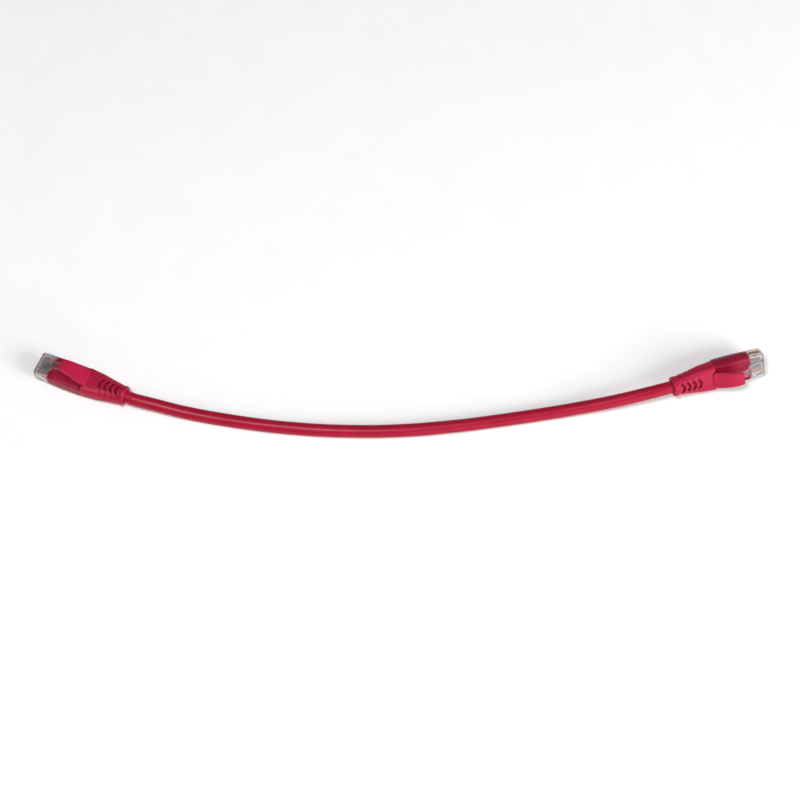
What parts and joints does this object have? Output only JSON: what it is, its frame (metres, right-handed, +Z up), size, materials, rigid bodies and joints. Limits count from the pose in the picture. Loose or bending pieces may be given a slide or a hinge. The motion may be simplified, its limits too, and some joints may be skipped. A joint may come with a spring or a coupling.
{
  "type": "ethernet patch cable",
  "caption": "Short patch cable with a clear modular plug and a moulded snagless strain-relief boot at each end, lying in a shallow arc.",
  "frame": {"origin": "centre of the box round the two plugs with their boots, on the surface that the cable lies on", "axes": "+Z up; +X from the left plug to the right one; the cable's arc sags towards -Y"},
  "size_m": [0.3371, 0.0422, 0.0145],
  "materials": {
    "jacket_pvc": "satin",
    "boot_pvc": "satin",
    "clear_polycarbonate": "polished",
    "gold_plate": "polished",
    "insulation_white_orange": "satin",
    "insulation_orange": "satin",
    "insulation_white_green": "satin",
    "insulation_blue": "satin",
    "insulation_white_blue": "satin",
    "insulation_green": "satin",
    "insulation_white_brown": "satin",
    "insulation_brown": "satin"
  },
  "bodies": {
    "cable": {"cable_jacket": "jacket_pvc", "conductor_1_white_orange": "insulation_white_orange", "conductor_2_orange": "insulation_orange", "conductor_3_white_green": "insulation_white_green", "conductor_4_blue": "insulation_blue", "conductor_5_white_blue": "insulation_white_blue", "conductor_6_green": "insulation_green", "conductor_7_white_brown": "insulation_white_brown", "conductor_8_brown": "insulation_brown", "left_plug_housing": "clear_polycarbonate", "left_boot": "boot_pvc", "left_contact_1": "gold_plate", "left_contact_2": "gold_plate", "left_contact_3": "gold_plate", "left_contact_4": "gold_plate", "left_contact_5": "gold_plate", "left_contact_6": "gold_plate", "left_contact_7": "gold_plate", "left_contact_8": "gold_plate", "right_plug_housing": "clear_polycarbonate", "right_boot": "boot_pvc", "right_contact_1": "gold_plate", "right_contact_2": "gold_plate", "right_contact_3": "gold_plate", "right_contact_4": "gold_plate", "right_contact_5": "gold_plate", "right_contact_6": "gold_plate", "right_contact_7": "gold_plate", "right_contact_8": "gold_plate"},
    "left_thumb_tab": {"left_boot_thumb_tab": "boot_pvc"},
    "left_latch": {"left_plug_latch": "clear_polycarbonate"},
    "right_thumb_tab": {"right_boot_thumb_tab": "boot_pvc"},
    "right_latch": {"right_plug_latch": "clear_polycarbonate"}
  },
  "joints": [
    {"name": "left_thumb_tab_press", "type": "hinge", "parent": "cable", "child": "left_thumb_tab", "pos_m": [-0.14321, -0.0018, 0.0087], "axis": [-0.3827, -0.9239, 0], "range_deg": [0, 12], "stiffness_Nm_per_rad": 0.05},
    {"name": "left_latch_flex", "type": "hinge", "parent": "cable", "child": "left_latch", "pos_m": [-0.16483, 0.00715, 0.00745], "axis": [0.3827, 0.9239, 0], "range_deg": [0, 9.6], "stiffness_Nm_per_rad": 0.03},
    {"name": "right_thumb_tab_press", "type": "hinge", "parent": "cable", "child": "right_thumb_tab", "pos_m": [0.14443, -0.00356, 0.00941], "axis": [-0.142, 0.4794, 0.866], "range_deg": [0, 12], "stiffness_Nm_per_rad": 0.05},
    {"name": "right_latch_flex", "type": "hinge", "parent": "cable", "child": "right_latch", "pos_m": [0.16656, 0.00413, 0.00878], "axis": [0.142, -0.4794, -0.866], "range_deg": [0, 9.6], "stiffness_Nm_per_rad": 0.03}
  ],
  "couplings": [
    {"joint": "left_latch_flex", "follows": "left_thumb_tab_press", "ratio": 0.8},
    {"joint": "right_latch_flex", "follows": "right_thumb_tab_press", "ratio": 0.8}
  ]
}
